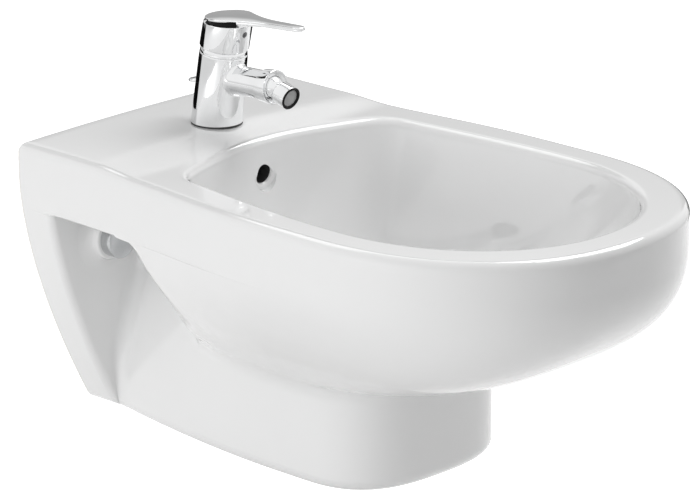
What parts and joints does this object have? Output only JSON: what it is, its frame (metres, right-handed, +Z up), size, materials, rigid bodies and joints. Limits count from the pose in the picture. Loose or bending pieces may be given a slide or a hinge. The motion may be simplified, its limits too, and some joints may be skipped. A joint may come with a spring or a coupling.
{
  "type": "bidet",
  "caption": "Wall-hung bidet: glazed ceramic bowl with a tap deck, a leaning single-lever mixer with a swivel nozzle, and a pop-up waste worked by a lift rod.",
  "frame": {"origin": "on the wall face, midway between the two fixing holes", "axes": "+Z up, +Y into the wall, so the bowl points along -Y, and X across"},
  "size_m": [0.35, 0.56, 0.3621],
  "materials": {
    "glaze": "white glazed vitreous china, glossy",
    "chrome": "polished chrome plate",
    "steel": "plain zinc-plated or stainless steel",
    "brass": "bare turned brass",
    "rubber": "black rubber, matte",
    "white_plastic": "white moulded plastic",
    "black_plastic": "black moulded plastic with a grey mesh",
    "grey_plastic": "dark grey plastic",
    "cap_plastic": "grey plated plastic"
  },
  "bodies": {
    "bidet": {"bidet_body": "glaze", "tap_base_seal": "rubber", "tap_body": "chrome", "mixing_cartridge": "white_plastic", "cartridge_nut": "brass", "dome_ring": "chrome", "spout_collar": "chrome", "tap_stud": "brass", "tap_rubber_washer": "rubber", "tap_clamp_washer": "steel", "tap_nut": "brass", "ball_nut": "brass", "pivot_seal": "rubber", "waste_flange": "chrome", "flange_gasket": "rubber", "waste_cone_washer": "rubber", "waste_slip_washer": "white_plastic", "waste_back_nut": "brass", "waste_body": "chrome", "tail_nut": "chrome", "tail_washer": "rubber", "tail_pipe": "chrome", "fixing_sleeves": "white_plastic", "fixing_washers": "steel", "fixing_nuts": "steel", "fixing_caps": "cap_plastic"},
    "rotor": {"cartridge_rotor": "white_plastic"},
    "lever": {"cartridge_spindle": "steel", "lever_handle": "chrome", "handle_grub_screw": "steel", "index_plug": "grey_plastic"},
    "nozzle_ring": {"ball_seal": "rubber"},
    "nozzle": {"swivel_ball": "chrome", "aerator_housing": "chrome", "aerator_insert": "black_plastic"},
    "lift_rod": {"lift_rod": "chrome", "lift_knob": "chrome", "rod_clevis": "brass", "clevis_screw": "steel", "rod_strap": "steel"},
    "ball_rod": {"ball_rod": "chrome"},
    "plug": {"waste_plug": "chrome", "plug_seal": "rubber"}
  },
  "joints": [
    {"name": "handle_turn", "type": "hinge", "parent": "bidet", "child": "rotor", "pos_m": [0, -0.09072, 0.14796], "axis": [0, -0.1392, 0.9903], "range_deg": [-45, 45]},
    {"name": "handle_lift", "type": "hinge", "parent": "rotor", "child": "lever", "pos_m": [0, -0.09072, 0.14796], "axis": [-1, 0, 0], "range_deg": [0, 20]},
    {"name": "nozzle_roll", "type": "hinge", "parent": "bidet", "child": "nozzle_ring", "pos_m": [0, -0.15036, 0.13777], "axis": [0, -0.999, 0.0436], "range_deg": [-90, 90]},
    {"name": "nozzle_tilt", "type": "hinge", "parent": "nozzle_ring", "child": "nozzle", "pos_m": [0, -0.15036, 0.13777], "axis": [1, 0, 0], "range_deg": [-35, 2.5]},
    {"name": "lift_rod_slide", "type": "slide", "parent": "bidet", "child": "lift_rod", "axis": [0, 0.1564, 0.9877], "range_m": [0, 0.021]},
    {"name": "ball_rod_tilt", "type": "hinge", "parent": "bidet", "child": "ball_rod", "pos_m": [0, -0.208, -0.084], "axis": [1, 0, 0], "range_deg": [0, 10.1]},
    {"name": "plug_slide", "type": "slide", "parent": "bidet", "child": "plug", "axis": [0, 0, 1], "range_m": [-0.00565, 0]}
  ],
  "couplings": [
    {"joint": "ball_rod_tilt", "follows": "lift_rod_slide", "rad_per_m": 8.35},
    {"joint": "plug_slide", "follows": "lift_rod_slide", "ratio": -0.2672}
  ]
}
